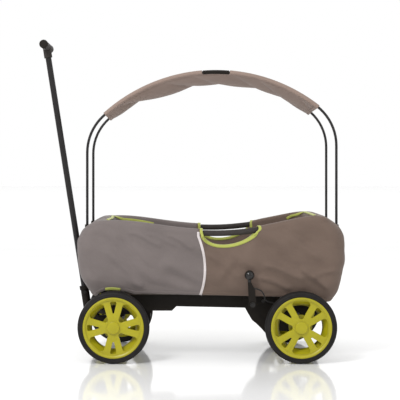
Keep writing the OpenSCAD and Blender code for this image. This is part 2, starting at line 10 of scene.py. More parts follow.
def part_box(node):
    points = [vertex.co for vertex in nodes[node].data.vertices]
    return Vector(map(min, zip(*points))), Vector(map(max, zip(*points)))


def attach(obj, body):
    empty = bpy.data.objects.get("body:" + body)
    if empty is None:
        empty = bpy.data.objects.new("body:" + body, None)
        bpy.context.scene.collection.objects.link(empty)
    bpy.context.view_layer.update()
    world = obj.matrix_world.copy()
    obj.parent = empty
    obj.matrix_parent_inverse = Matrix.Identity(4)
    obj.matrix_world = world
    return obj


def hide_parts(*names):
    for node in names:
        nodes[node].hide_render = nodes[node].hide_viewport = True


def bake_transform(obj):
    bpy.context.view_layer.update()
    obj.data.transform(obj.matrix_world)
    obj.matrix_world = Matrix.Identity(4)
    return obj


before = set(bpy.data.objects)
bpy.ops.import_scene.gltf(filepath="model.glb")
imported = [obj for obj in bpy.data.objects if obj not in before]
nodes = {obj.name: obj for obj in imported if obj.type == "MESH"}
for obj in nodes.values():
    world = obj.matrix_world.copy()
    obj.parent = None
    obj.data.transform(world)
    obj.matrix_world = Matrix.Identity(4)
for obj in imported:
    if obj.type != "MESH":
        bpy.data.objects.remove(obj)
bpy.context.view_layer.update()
scene = bpy.context.scene

MM = 0.001


def middle(name):
    """The middle of a CAD node's box."""
    low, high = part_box(name)
    return (Vector(low) + Vector(high)) / 2


def put(name, data):
    """A new object in the scene."""
    thing = bpy.data.objects.new(name, data)
    scene.collection.objects.link(thing)
    return thing


GROUND_Z = 0.0
WHEELS = ("front_left", "front_right", "rear_left", "rear_right")
# Places read from the frame
FRONT_AXLE = middle("front_axle")
REAR_AXLE = middle("rear_axle")


# ---------- camera, light and stage ----------

VIEW_DISTANCE = 4.38  # from the camera to the wagon's middle plane
VIEW_HEIGHT = 0.688
VIEW_X = -0.0356
SENSOR = 36.0
VIEW_WIDTH = 1.4956  # what the picture spans across at the wagon's middle plane
VIEW_SHIFT = (0.05, -0.08)
VIEW_END = 60  # the camera sees no further than this
WHITE = (1, 1, 1, 1)
LIGHT_AIM = (0, 0, 0.45)
# Soft boxes as (name, place, width and height, power)
LIGHTS = (("key", (-1.6, -2.6, 2.9), (1.0, 1.0), 84),
          ("fill", (2.8, -2.4, 1.6), (1.8, 1.8), 8),
          ("back", (0.4, 2.6, 2.6), (2.2, 1.4), 30))
FLOOR_FAR, FLOOR_NEAR = 40, -6  # how far the floor runs to the sides and back, and to the front


def make_camera():
    data = bpy.data.cameras.new("camera")
    data.sensor_width = SENSOR
    data.lens = SENSOR * VIEW_DISTANCE / VIEW_WIDTH
    data.shift_x, data.shift_y = VIEW_SHIFT
    data.clip_end = VIEW_END
    camera = put("camera", data)
    camera.location = (VIEW_X, -VIEW_DISTANCE, VIEW_HEIGHT)
    camera.rotation_euler = (math.pi / 2, 0, 0)
    scene.camera = camera


def area_light(name, at, size, power):
    """A soft box at one point, aimed at the middle of the wagon."""
    data = bpy.data.lights.new(name, "AREA")
    data.shape = "RECTANGLE"
    data.size, data.size_y = size
    data.energy = power
    lamp = put(name, data)
    lamp.location = at
    lamp.rotation_euler = (Vector(LIGHT_AIM) - Vector(at)).to_track_quat("-Z", "Y").to_euler()


def make_stage():
    world = bpy.data.worlds.new("studio")
    world.use_nodes = True
    set_inputs(world.node_tree.nodes["Background"], Color=WHITE, Strength=1.0)
    scene.world = world
    scene.view_settings.view_transform = "Standard"
    for light in LIGHTS:
        area_light(*light)

    mesh = bpy.data.meshes.new("floor")
    far, near = FLOOR_FAR, FLOOR_NEAR
    corners = [(x, y, GROUND_Z) for x, y in ((-far, near), (far, near), (far, far), (-far, far))]
    mesh.from_pydata(corners, [], [(0, 1, 2, 3)])
    floor = put("floor", mesh)
    look = Look("studio_floor", roughness=0.09, Specular_IOR_Level=1.0)
    look.colour(look.shades(look.noise(1.5, 2), WHITE, 0.93, 0.97))
    mesh.materials.append(look.material)


# ---------- materials ----------

def srgb(red, green, blue):
    """A linear colour from screen values of 0 to 255."""
    def linear(value):
        share = value / 255
        return share / 12.92 if share <= 0.04045 else ((share + 0.055) / 1.055) ** 2.4
    return (linear(red), linear(green), linear(blue), 1.0)


def tint(colour, gain):
    return tuple(min(channel * gain, 1.0) for channel in colour[:3]) + (1.0,)


def set_inputs(node, **values):
    """Sets a node's sockets by name, with _ for each space in it."""
    for socket, value in values.items():
        node.inputs[socket.replace("_", " ")].default_value = value


class Look:
    """One Principled material, built up from procedural nodes in object coordinates."""

    def __init__(self, name, roughness, **sockets):
        self.material = bpy.data.materials.new(name)
        self.material.use_nodes = True
        self.tree = self.material.node_tree
        self.shader = self.tree.nodes["Principled BSDF"]
        set_inputs(self.shader, Roughness=roughness, **sockets)
        self.place = self.add("ShaderNodeTexCoord").outputs["Object"]
        self.normal = None

    def add(self, kind, **settings):
        node = self.tree.nodes.new(kind)
        for key, value in settings.items():
            setattr(node, key, value)
        return node

    def link(self, source, socket):
        self.tree.links.new(source, socket)

    def feed(self, value, socket):
        """Puts a plain value in a socket, or links another node's output to it."""
        if isinstance(value, (int, float, tuple)):
            socket.default_value = value
        else:
            self.link(value, socket)

    def math(self, operation, *values):
        node = self.add("ShaderNodeMath", operation=operation)
        for socket, value in zip(node.inputs, values):
            self.feed(value, socket)
        return node.outputs[0]

    def noise(self, scale, detail=2.0, stretch=(1, 1, 1)):
        """A noise pattern, with scale cells to the metre. A stretch below 1 draws it out along that axis."""
        mapping = self.add("ShaderNodeMapping")
        set_inputs(mapping, Scale=stretch)
        self.link(self.place, mapping.inputs["Vector"])
        node = self.add("ShaderNodeTexNoise")
        set_inputs(node, Scale=scale, Detail=detail)
        self.link(mapping.outputs["Vector"], node.inputs["Vector"])
        return node.outputs["Fac"]

    def ramp(self, factor, stops):
        node = self.add("ShaderNodeValToRGB")
        band = node.color_ramp
        while len(band.elements) < len(stops):
            band.elements.new(0.5)
        for element, (position, colour) in zip(band.elements, stops):
            element.position = position
            element.color = colour
        self.link(factor, node.inputs["Fac"])
        return node.outputs["Color"]

    def mix(self, factor, first, second, blend="MIX"):
        """A blend of two colours; sockets 0, 6 and 7 of the node are its factor and its two colours."""
        node = self.add("ShaderNodeMix", data_type="RGBA", blend_type=blend)
        for number, value in ((0, factor), (6, first), (7, second)):
            self.feed(value, node.inputs[number])
        return node.outputs[2]

    def shades(self, pattern, colour, painted_crest_light, light, start=0.3, stop=0.7):
        """One colour, from dark to light times itself as a pattern goes from start to stop."""
        return self.ramp(pattern, [(start, tint(colour, painted_crest_light)), (stop, tint(colour, light))])

    def grade(self, factor, low, high):
        """Maps the 0.3 to 0.7 of a pattern to the range low to high."""
        node = self.add("ShaderNodeMapRange")
        set_inputs(node, From_Min=0.3, From_Max=0.7, To_Min=low, To_Max=high)
        self.link(factor, node.inputs["Value"])
        return node.outputs["Result"]

    def colour(self, source):
        self.link(source, self.shader.inputs["Base Color"])

    def rough(self, source):
        self.link(source, self.shader.inputs["Roughness"])

    def bump(self, height, distance, strength):
        node = self.add("ShaderNodeBump")
        set_inputs(node, Distance=distance, Strength=strength)
        self.link(height, node.inputs["Height"])
        if self.normal is not None:
            self.link(self.normal, node.inputs["Normal"])
        self.normal = node.outputs["Normal"]
        self.link(self.normal, self.shader.inputs["Normal"])

    def threads(self, along, pitch):
        """A run of parallel threads: a sine along one direction, with that pitch."""
        dot = self.add("ShaderNodeVectorMath", operation="DOT_PRODUCT")
        self.link(self.place, dot.inputs[0])
        dot.inputs[1].default_value = Vector(along) * (2 * math.pi / pitch)
        return self.math("SINE", dot.outputs["Value"])


def woven(name, colour, warp, weft, depth=0.0001):
    """Plain-weave cloth: threads along two directions, with melange yarn, faint unevenness and a painted
    highlight on the raised crossings.
    """
    look = Look(name, roughness=0.85, Sheen_Weight=0.12, Sheen_Roughness=0.45, Specular_IOR_Level=0.2)
    weave = look.math("MULTIPLY", look.threads(warp, THREAD_PITCH), look.threads(weft, THREAD_PITCH))
    yarn = look.noise(420, 3, stretch=(1, 1, 2.2))
    base = look.shades(look.noise(7, 3), colour, 0.93, 1.07)
    melange = look.ramp(yarn, [(0.32, (0.92, 0.92, 0.92, 1)), (0.68, (1.07, 1.07, 1.07, 1))])
    base = look.mix(1.0, base, melange, "MULTIPLY")
    # painted highlight: where the weave is raised, the colour is painted lighter than the cloth's own
    painted_crest_light = look.grade(weave, 0.0, 0.16)
    look.colour(look.mix(painted_crest_light, base, tint(colour, 1.25)))
    look.rough(look.grade(yarn, 0.78, 0.92))
    look.bump(look.noise(90, 2), 0.0004, 0.35)
    look.bump(weave, depth, 0.6)
    return look.material


def ribbed_tape(name, colour, rib=0.0011):
    """Narrow woven binding with fine cross ribs, their raised crests painted lighter as a painted highlight.
    """
    look = Look(name, roughness=0.6, Sheen_Weight=0.15, Sheen_Roughness=0.4)
    ribs = look.math("MULTIPLY", look.threads((1, 0.9, 0), rib), look.threads((0, 0.4, 1), rib * 1.3))
    base = look.shades(look.noise(500, 2), colour, 0.88, 1.1)
    # painted highlight: the raised ribs are painted lighter than the tape's own colour
    look.colour(look.mix(look.grade(ribs, 0.0, 0.18), base, tint(colour, 1.3)))
    look.bump(ribs, 0.0002, 0.6)
    return look.material


def moulded(name, colour, roughness, depth=0.00012, coat=0.0, shine=0.3):
    """Moulded plastic: a fine spark-eroded grain, faint flow clouds and uneven gloss."""
    look = Look(name, roughness=roughness, Coat_Weight=coat, Coat_Roughness=0.2, Specular_IOR_Level=shine)
    look.colour(look.shades(look.noise(14, 3), colour, 0.93, 1.06))
    look.rough(look.grade(look.noise(60, 4), roughness - 0.06, roughness + 0.08))
    look.bump(look.noise(900, 2), depth, 0.4)
    return look.material


def powder_coat(name, colour):
    """Painted tube: orange peel and slight gloss changes."""
    look = Look(name, roughness=0.38, Coat_Weight=0.05, Coat_Roughness=0.15, Specular_IOR_Level=0.25)
    look.colour(look.shades(look.noise(30, 3), colour, 0.85, 1.15))
    look.rough(look.grade(look.noise(45, 3), 0.31, 0.48))
    look.bump(look.noise(520, 1), 0.00015, 0.35)
    return look.material


def zinc(name, colour=(0.52, 0.53, 0.54, 1)):
    """Plated or blackened steel: brushed along Y, with a cloudy surface."""
    look = Look(name, roughness=0.35, Metallic=1.0)
    look.colour(look.shades(look.noise(60, 4), colour, 0.8, 1.15))
    look.rough(look.grade(look.noise(200, 3, stretch=(1, 0.08, 1)), 0.26, 0.5))
    look.bump(look.noise(700, 2, stretch=(1, 0.05, 1)), 0.00008, 0.5)
    return look.material


def rubber(name, colour):
    """Tyre rubber: matt, with a fine skin grain, dust and dull scuffs."""
    look = Look(name, roughness=0.62, Specular_IOR_Level=0.2)
    look.colour(look.shades(look.noise(24, 5), colour, 0.8, 1.35, stop=0.72))
    look.rough(look.grade(look.noise(50, 4), 0.52, 0.75))
    look.bump(look.noise(650, 2), 0.00018, 0.5)
    return look.material


def foam_skin(name, colour):
    """Closed-cell foam grip: fine open pores, with painted shade in them."""
    look = Look(name, roughness=0.8, Specular_IOR_Level=0.3)
    cells = look.add("ShaderNodeTexVoronoi", feature="F1")
    set_inputs(cells, Scale=620)
    look.link(look.place, cells.inputs["Vector"])
    pores = cells.outputs["Distance"]
    # painted shade: the colour darkens into each pore, where the bump makes a pit
    look.colour(look.shades(pores, colour, 0.65, 1.2, start=0.1, stop=0.6))
    look.rough(look.grade(look.noise(80, 3), 0.72, 0.88))
    look.bump(pores, 0.0003, 0.5)
    return look.material


def board_grain(name, colour):
    """Hardboard: long soft fibres with a dull face."""
    look = Look(name, roughness=0.75)
    fibre = look.noise(60, 5, stretch=(0.15, 1, 1))
    look.colour(look.shades(fibre, colour, 0.8, 1.15))
    look.bump(fibre, 0.0002, 0.4)
    return look.material


THREAD_PITCH = 0.0014
WALL_WARP, WALL_WEFT = (1, 1, 0), (0, 0, 1)
FLAT_WARP, FLAT_WEFT = (1, 0, 0), (0, 1, 0)
GREY = srgb(107, 99, 97)
BROWN = srgb(101, 86, 77)
TAUPE = srgb(132, 115, 106)
LIME = srgb(155, 147, 18)
BINDING = srgb(160, 166, 74)
INK = srgb(24, 20, 16)


def make_materials():
    return {
        "grey": woven("grey_canvas", GREY, WALL_WARP, WALL_WEFT),
        "brown": woven("brown_canvas", BROWN, WALL_WARP, WALL_WEFT),
        "canopy": woven("canopy_canvas", TAUPE, FLAT_WARP, FLAT_WEFT, depth=0.00002),
        "pad": woven("pad_canvas", srgb(96, 90, 88), FLAT_WARP, FLAT_WEFT),
        "binding": ribbed_tape("lime_binding", BINDING),
        "piping": ribbed_tape("white_piping", srgb(196, 188, 187), rib=0.0014),
        "stitch": ribbed_tape("dark_stitching", srgb(84, 76, 72), rib=0.0022),
        "tyre": rubber("tyre_rubber", srgb(24, 22, 21)),
        "lime": moulded("lime_plastic", LIME, roughness=0.36, coat=0.12),
        "black": moulded("black_plastic", INK, roughness=0.55, shine=0.14),
        "dark_steel": zinc("black_oxide_steel", (0.030, 0.029, 0.028, 1)),
        "bushing": moulded("bushing_plastic", srgb(52, 50, 48), roughness=0.42),
        "tube": powder_coat("black_powder_coat", srgb(25, 23, 23)),
        "steel": zinc("zinc_steel"),
        "foam": foam_skin("grip_foam", srgb(46, 42, 40)),
        "knob": moulded("gloss_knob", srgb(14, 12, 11), roughness=0.2, coat=0.25, depth=0.00004),
        "sheath": moulded("cable_sheath", srgb(30, 28, 27), roughness=0.42),
        "board": board_grain("floor_hardboard", srgb(70, 60, 52)),
    }


# Which look each carried-over CAD node takes
NODE_LOOKS = {
    "black": ["left_side_rail", "right_side_rail", "turntable_block", "cross_members", "rear_left_bracket",
              "rear_right_bracket", "turntable_plate", "axle_beam", "drawbar_fork", "handle_socket",
              "hoop_sockets", "brake_arm", "grip_caps", "hoop_joiners"],
    "tube": ["front_end_frame", "rear_end_frame", "left_rim_tube", "right_rim_tube", "handle_tube",
             "left_hoop", "right_hoop"],
    "foam": ["left_rail_grip", "right_rail_grip", "grip_bar"],
    "steel": ["rear_axle", "front_axle", "kingpin", "left_brake_peg", "right_brake_peg"],
    "dark_steel": ["handle_pivot_bolt", "socket_bolt", "brake_shaft", "frame_bolts"],
    "knob": ["brake_knob"],
    "board": ["floor_board"],
    "bushing": [wheel + "_bushing" for wheel in WHEELS],
}


def dress(piece, look):
    piece.data.materials.clear()
    piece.data.materials.append(look)


def dress_nodes(looks):
    for look, names in NODE_LOOKS.items():
        for name in names:
            for slot in nodes[name].material_slots:
                slot.material = looks[look]


# ---------- mesh helpers ----------

def make_piece(name, points, faces, look):
    mesh = bpy.data.meshes.new(name)
    mesh.from_pydata([tuple(p) for p in points], [], faces)
    mesh.validate()
    piece = put(name, mesh)
    mesh.materials.append(look)
    mesh.shade_smooth()
    return piece


def grid_faces(rows, columns, closed_rows=False, closed_columns=False, skip=None):
    """Quads over a grid whose points are stored row by row."""
    faces = []
    for i in range(rows if closed_rows else rows - 1):
        for j in range(columns if closed_columns else columns - 1):
            if skip is not None and skip(i, j):
                continue
            here = i * columns
            below = (i + 1) % rows * columns
            right = (j + 1) % columns
            faces.append((here + j, here + right, below + right, below + j))
    return faces


def sweep(name, rings, look, closed=False):
    """A skin through equal rings of points, with its ends capped unless it closes on itself."""
    count, around = len(rings), len(rings[0])
    faces = grid_faces(count, around, closed_rows=closed, closed_columns=True)
    if not closed:
        faces.append(tuple(range(around)))
        faces.append(tuple((count - 1) * around + k for k in reversed(range(around))))
    piece = make_piece(name, [p for ring in rings for p in ring], faces, look)
    recalculate(piece)
    return piece


def recalculate(piece):
    """Turns all the normals outward."""
    work = bmesh.new()
    work.from_mesh(piece.data)
    bmesh.ops.recalc_face_normals(work, faces=work.faces)
    work.to_mesh(piece.data)
    work.free()


def modify(piece, kind, **settings):
    """Adds a modifier to the piece."""
    modifier = piece.modifiers.new(kind.lower(), kind)
    for key, value in settings.items():
        setattr(modifier, key, value)
    return modifier


def bake_modifiers(piece):
    """Applies what is on the piece's stack, so that its mesh is final."""
    depsgraph = bpy.context.evaluated_depsgraph_get()
    final = bpy.data.meshes.new_from_object(piece.evaluated_get(depsgraph))
    old = piece.data
    piece.modifiers.clear()
    piece.data = final
    final.name = piece.name
    bpy.data.meshes.remove(old)


def thicken(piece, thickness, offset):
    """Gives a single layer of cloth its thickness: inward at offset -1, to both sides at 0."""
    recalculate(piece)
    modify(piece, "SOLIDIFY", thickness=thickness, offset=offset)
    bake_modifiers(piece)


def smoothstep(t):
    t = min(max(t, 0.0), 1.0)
    return t * t * (3 - 2 * t)


def lerp(a, b, t):
    return a + (b - a) * t


def through(low, high, count):
    """Even steps from low to high, both included."""
    return [lerp(low, high, k / count) for k in range(count + 1)]


def spread(low, high, count):
    """The same steps without the last."""
    return through(low, high, count)[:-1]


# ---------- the tub's fabric: one skin over the rim, outside and inside ----------

FRONT_X = FRONT_AXLE.x - 0.060  # where the rim ends in front and behind
REAR_X = REAR_AXLE.x + 0.085
RIM_MID_X = FRONT_AXLE.x + 0.359
SLOT_X = FRONT_AXLE.x + 0.395  # deepest point of the hand slots
SLOT_FRONT, SLOT_REAR, SLOT_DEPTH = 0.083, 0.122, 0.058
SLOT_FRONT_POWER, SLOT_REAR_POWER = 2.4, 1.85  # how square the two halves of the slot's edge are
CORNER_R = 0.060
HALF_WIDTH = 0.231
HEM_DROP = 0.026  # from the top of the rim to the bottom of its sleeve
TAPE_FROM, TAPE_TO = -0.300, -0.245  # the stretch of the arch that shows its lime tape
ARCH_R = 0.129  # wheel arch, round the front axle
HANDLE_SWING = 0.110  # the front end keeps flat this far from its middle, behind the handle
FLOOR_Z = 0.246  # where the lining meets the floor
INNER_Y_TOP, INNER_Y_FLOOR = 0.1985, 0.1925
INNER_FRONT_TOP, INNER_FRONT_FLOOR = -0.2835, -0.299
INNER_REAR_TOP, INNER_REAR_FLOOR = 0.4405, 0.4555
INNER_CORNER = 0.040
SLEEVE_SIDE = 0.22  # share of the way over the rim that runs straight up, and down
END_CREST = 0.45  # share of it at which the cloth crests at the tub's ends
FRONT_TAPE_END, REAR_TAPE_END = 2.39, 3.93  # how far along the sides the opening's tapes run, as s


def end_swell(v, peak, low, high):
    reach = peak if v < peak else 1 - peak
    return 1 - (abs(v - peak) / reach) ** (low if v < peak else high)


def front_x(v):
    stuffing = 0.004 * math.sin(math.pi * min(max(v, 0), 1))
    return FRONT_X - 0.020 * (1 - v) ** 2 - 0.070 * end_swell(v, 0.62, 2.2, 3.5) - stuffing


def rear_x(v):
    hem = 0.0235 * max(0.0, 1 - v / 0.25) ** 2.2
    shoulder = 0.0895 * max(0.0, (v - 0.55) / 0.45) ** 3.2
    stuffing = 0.005 * math.sin(math.pi * min(max(v, 0), 1)) + 0.008 * max(0.0, 1 - v) ** 2
    return REAR_X + 0.0495 + 0.040 * v - hem - shoulder + stuffing


def half_width(v):
    return HALF_WIDTH - 0.029 * (1 - v) ** 6 - 0.002 * v ** 4


def seam_x(v):
    return FRONT_AXLE.x + 0.307 + 0.078 * v - 0.098 * v * v


def rise(t, swell):
    return t * t * (1 + swell * (1 - t * t))


def rim_z(x):
    u = min(max(x, FRONT_X), REAR_X) - RIM_MID_X
    return 0.471 + (0.032 * rise(u / 0.419, 1.25) if u < 0 else 0.048 * rise(u / 0.386, 0.7))


def hem_z(x):
    u = min(max(x - FRONT_AXLE.x, -0.079), 0.758)
    if u < 0.107:
        return 0.230 + 0.011 * (u + 0.079) / 0.186
    if u < 0.614:
        return 0.241 - 0.011 * (u - 0.107) / 0.507
    return 0.230 - 0.020 * ((u - 0.614) / 0.144) ** 2


def recess(y):
    return 0.025 * max(0.0, 1 - (y / 0.135) ** 2)


def to_first_side(s):
    """The same place along the wall, mirrored to the side where s runs from 0 to 6."""
    return -s if s < 0 else 12 - s if s > 6 else s


def outline(t, front, rear, seam, width, corner):
    """A wall's plan as x and y. t is 0 at the middle of the front, 1 to 2 round the front corner, 3 at the
    seam, 4 to 5 round the rear corner and 6 at the middle of the rear."""
    flat = width - corner
    if t <= 1:
        return front, t * flat
    if t <= 2:
        turn = (t - 1) * math.pi / 2
        return front + corner * (1 - math.cos(turn)), flat + corner * math.sin(turn)
    if t <= 3:
        return lerp(front + corner, seam, t - 2), width
    if t <= 4:
        return lerp(seam, rear - corner, t - 3), width
    if t <= 5:
        turn = (t - 4) * math.pi / 2
        return rear - corner * (1 - math.sin(turn)), flat + corner * math.cos(turn)
    return rear, (6 - t) * flat


def shell(s, v):
    """A point on the outside of the wall; s runs past 0 and 6 on to the other side."""
    t = to_first_side(s)
    x, y = outline(t, front_x(v), rear_x(v), seam_x(v), half_width(v), CORNER_R)
    if t <= 1:
        x += recess(y)
    return Vector((x, -y if s < 0 or s > 6 else y, lerp(hem_z(x), rim_z(x), v)))


def shell_out(s, v):
    """The outward normal there."""
    along = shell(s + 0.02, v) - shell(s - 0.02, v)
    up = shell(s, min(v + 0.02, 1)) - shell(s, max(v - 0.02, 0))
    return up.cross(along).normalized()


def v_at(x, z):
    return (z - hem_z(x)) / (rim_z(x) - hem_z(x))


def slot_edge(x):
    """Height of the hand slot's edge at x, or None where the wall reaches the rim."""
    u = x - SLOT_X
    share, power = (-u / SLOT_FRONT, SLOT_FRONT_POWER) if u < 0 else (u / SLOT_REAR, SLOT_REAR_POWER)
    if share >= 1:
        return None
    drop = SLOT_DEPTH * (1 - share ** power) ** (1 / power)
    return rim_z(x) - drop if drop > HEM_DROP else None


def gathered(x, z):
    """How far, from 0 to 1, the two layers are drawn together where they are sewn at a hand slot."""
    edge = slot_edge(x)
    if edge is None:
        return 0.0
    deep = smoothstep((rim_z(x) - edge - HEM_DROP) / 0.022)
    return deep * smoothstep(1 - (edge - z) / 0.075)


def fold(p):
    """Soft diagonal pulls in stretched cloth, mostly between -1 and 1."""
    a = noise.noise(Vector((p.x * 5 - p.z * 4, p.z * 19 + p.x * 11, p.y * 5 + 3.1)))
    b = noise.noise(Vector((p.x * 9 - p.z * 4, p.z * 7 + p.x * 3, p.y * 9 - 7.7)))
    c = noise.noise(Vector((p.x * 22 - p.z * 12, p.z * 40 + p.x * 24, p.y * 26 + 1.3)))
    return 1.15 * a + 0.9 * b + 0.20 * c


FOLD_HEIGHT = 0.0100
PULL_GAIN = 2.2
# Pulls in the side walls: (one end, other end, half-width, height), ends as x and z
PULLS = [
    ((-0.300, 0.405), (-0.165, 0.262), 0.016, 0.0050),
    ((-0.255, 0.440), (-0.120, 0.300), 0.013, -0.0030),
    ((-0.215, 0.462), (-0.105, 0.415), 0.007, 0.0026),
    ((-0.150, 0.458), (-0.050, 0.418), 0.007, 0.0024),
    ((-0.085, 0.452), (0.010, 0.405), 0.007, 0.0022),
    ((-0.100, 0.350), (0.060, 0.275), 0.020, 0.0032),
    ((0.055, 0.395), (0.190, 0.300), 0.016, 0.0030),
    ((0.160, 0.390), (0.110, 0.290), 0.014, 0.0026),
    ((0.245, 0.300), (0.360, 0.262), 0.011, 0.0038),
    ((0.260, 0.345), (0.410, 0.300), 0.012, 0.0034),
    ((0.330, 0.440), (0.470, 0.370), 0.016, 0.0034),
    ((0.390, 0.330), (0.500, 0.262), 0.012, 0.0044),
    ((0.430, 0.300), (0.515, 0.330), 0.009, 0.0032),
    ((0.300, 0.475), (0.400, 0.432), 0.009, 0.0024),
]


def pulls(x, z):
    """Ridges pulled across a side wall by its seams, its corners and the brake."""
    total = 0.0
    for (x0, z0), (x1, z1), half, height in PULLS:
        dx, dz = x1 - x0, z1 - z0
        length = math.hypot(dx, dz)
        along = ((x - x0) * dx + (z - z0) * dz) / length
        off = ((x - x0) * dz - (z - z0) * dx) / length
        off += 0.004 * math.sin(along / length * 5)
        fade = smoothstep((along + half) / (2.5 * half)) * smoothstep((length + half - along) / (2.5 * half))
        total += height * fade * math.exp(-(off / half) ** 2)
    return total


def arch_start(s):
    """How far up the wall the front wheel arch cuts it, as a share of its height."""
    p = shell(s, 0.06)
    off = p.x - FRONT_AXLE.x
    if abs(off) >= ARCH_R:
        return 0.0
    top = FRONT_AXLE.z + math.sqrt(ARCH_R ** 2 - off ** 2)
    inward = smoothstep((abs(p.y) - 0.176) / 0.022)
    return max(0.0, v_at(p.x, top)) * inward


def sleeve_foot(s):
    """The share of the wall's height where the rim's sleeve begins."""
    x = shell(s, 0.9).x
    return v_at(x, rim_z(x) - HEM_DROP)


def solve_column(x, z):
    """The s of the wall column on the rear side that passes through x at height z."""
    v = v_at(x, z)
    return 3 + (x - seam_x(v)) / (rear_x(v) - CORNER_R - seam_x(v))


def slot_columns():
    """The s values of the columns that end on a hand slot's edge, its two ends included."""
    columns = []
    for length, power, way in ((SLOT_FRONT, SLOT_FRONT_POWER, -1), (SLOT_REAR, SLOT_REAR_POWER, 1)):
        first = math.asin((HEM_DROP / SLOT_DEPTH) ** (power / 2))
        half = []
        for turn in through(first, math.pi / 2, 18):
            x = SLOT_X + way * length * math.cos(turn) ** (2 / power)
            z = rim_z(x) - SLOT_DEPTH * math.sin(turn) ** (2 / power)
            half.append((solve_column(x, z), x, z))
        columns += half if way < 0 else half[-2::-1]
    return columns


SLOT_COLUMNS = slot_columns()


def cover_columns(front):
    """One cover's columns as (s, slot point or None), from the left seam round the end to the right seam."""
    if front:
        half = spread(0, 1, 30) + spread(1, 2, 18) + spread(2, 3, 50) + [3]
        half = [(s, None) for s in half]
        return [(-s, None) for s, _ in half[:0:-1]] + half
    first, last = SLOT_COLUMNS[0][0], SLOT_COLUMNS[-1][0]
    side = [(s, None) for s in spread(3, first, 5)]
    side += [(s, (x, z)) for s, x, z in SLOT_COLUMNS]
    side += [(s, None) for s in spread(last, 4, 36)[1:]]
    side += [(s, None) for s in spread(4, 5, 18) + spread(5, 6, 30)]
    return side + [(6, None)] + [(12 - s, point) for s, point in side[::-1]]


def lining(s, z, v):
    """A point on the tub's lining: s as for the wall, at height z, where the wall's share is v."""
    t = to_first_side(s)
    share = (z - FLOOR_Z) / (0.480 - FLOOR_Z)
    width = lerp(INNER_Y_FLOOR, INNER_Y_TOP, share)
    front = lerp(INNER_FRONT_FLOOR, INNER_FRONT_TOP, share)
    rear = lerp(INNER_REAR_FLOOR, INNER_REAR_TOP, share)
    x, y = outline(t, front, rear, seam_x(v), width, INNER_CORNER)
    if 3 < t <= 4:
        outer_end = rear_x(v) - CORNER_R
        x = lerp(seam_x(v), outer_end, t - 3) + (rear - INNER_CORNER - outer_end) * (t - 3) ** 3
        y = width + 0.0125 * gathered(x, z)
    return Vector((x, -y if s < 0 or s > 6 else y, z))


def wall_out(s, v, proud=0.0):
    """The finished outside of the wall: the shell, drawn in at the slots and softly folded."""
    p = shell(s, v)
    out = shell_out(s, v)
    away = smoothstep(v / 0.14) * smoothstep((1.0 - v) / 0.22)
    folds = FOLD_HEIGHT * fold(p) * (1 - 0.5 * end_share(s)) + PULL_GAIN * pulls(p.x, p.z)
    lift = folds * (0.10 + 0.90 * away) + proud
    if to_first_side(s) < 2:
        lift = min(lift, 0.0) + max(lift, 0.0) * smoothstep((abs(p.y) - HANDLE_SWING) / 0.05)
    if 3 <= to_first_side(s) <= 4:
        lift -= 0.0135 * gathered(p.x, p.z)
    return p + out * lift


def end_share(s):
    """1 round the tub's ends, 0 along its sides."""
    t = to_first_side(s)
    return 1 - smoothstep(t - 1) if t < 3 else smoothstep(t - 4)


def over_rim(s, q, v_top, proud=0.0):
    """The sleeve over the rim: q is 0 where the outer wall ends and 1 where the lining begins."""
    outer = wall_out(s, v_top)
    rim = rim_z(outer.x)
    inner = lining(s, rim - HEM_DROP, v_top)
    middle_point, half = (outer + inner) / 2, (outer - inner) / 2
    rise_by = HEM_DROP / 2 + proud
    if q < SLEEVE_SIDE:
        side = outer + Vector((0, 0, q / SLEEVE_SIDE * HEM_DROP / 2))
    elif q < 1 - SLEEVE_SIDE:
        turn = (q - SLEEVE_SIDE) / (1 - 2 * SLEEVE_SIDE) * math.pi
        side = middle_point + half * math.cos(turn) + Vector((0, 0, HEM_DROP / 2 + rise_by * math.sin(turn)))
    else:
        side = inner + Vector((0, 0, (1 - q) / SLEEVE_SIDE * HEM_DROP / 2))
    side += half.normalized() * proud * math.cos(q * math.pi)
    share = end_share(s)
    if share == 0:
        return side
    if q < END_CREST:
        end = wall_out(s, lerp(v_top, 1.0, q / END_CREST), proud)
    else:
        t = (q - END_CREST) / (1 - END_CREST)
        top = shell(s, 1.0)
        end = top.lerp(Vector((inner.x, inner.y, top.z)), 1 - (1 - t) ** 2.2)
        end.z = rim - HEM_DROP * t ** 3.2 + proud * (1 - t)
    return side.lerp(end, share)


def sleeve_shift(s, q, v_top):
    """How far the sleeve's end leans away from a hand slot as it climbs the rim."""
    t = to_first_side(s)
    if not 3 <= t <= 4:
        return 0.0
    x = shell(t, v_top).x
    first, last = SLOT_COLUMNS[0][1], SLOT_COLUMNS[-1][1]
    climb = smoothstep(q / 0.3)
    if x <= first + 1e-6:
        return -0.004 * climb * max(0.0, 1 - (first - x) / 0.012)
    if x >= last - 1e-6:
        return 0.013 * climb * max(0.0, 1 - (x - last) / 0.06)
    return 0.0


OUTER_ROWS, SLEEVE_ROWS, LINING_ROWS = 46, 14, 26


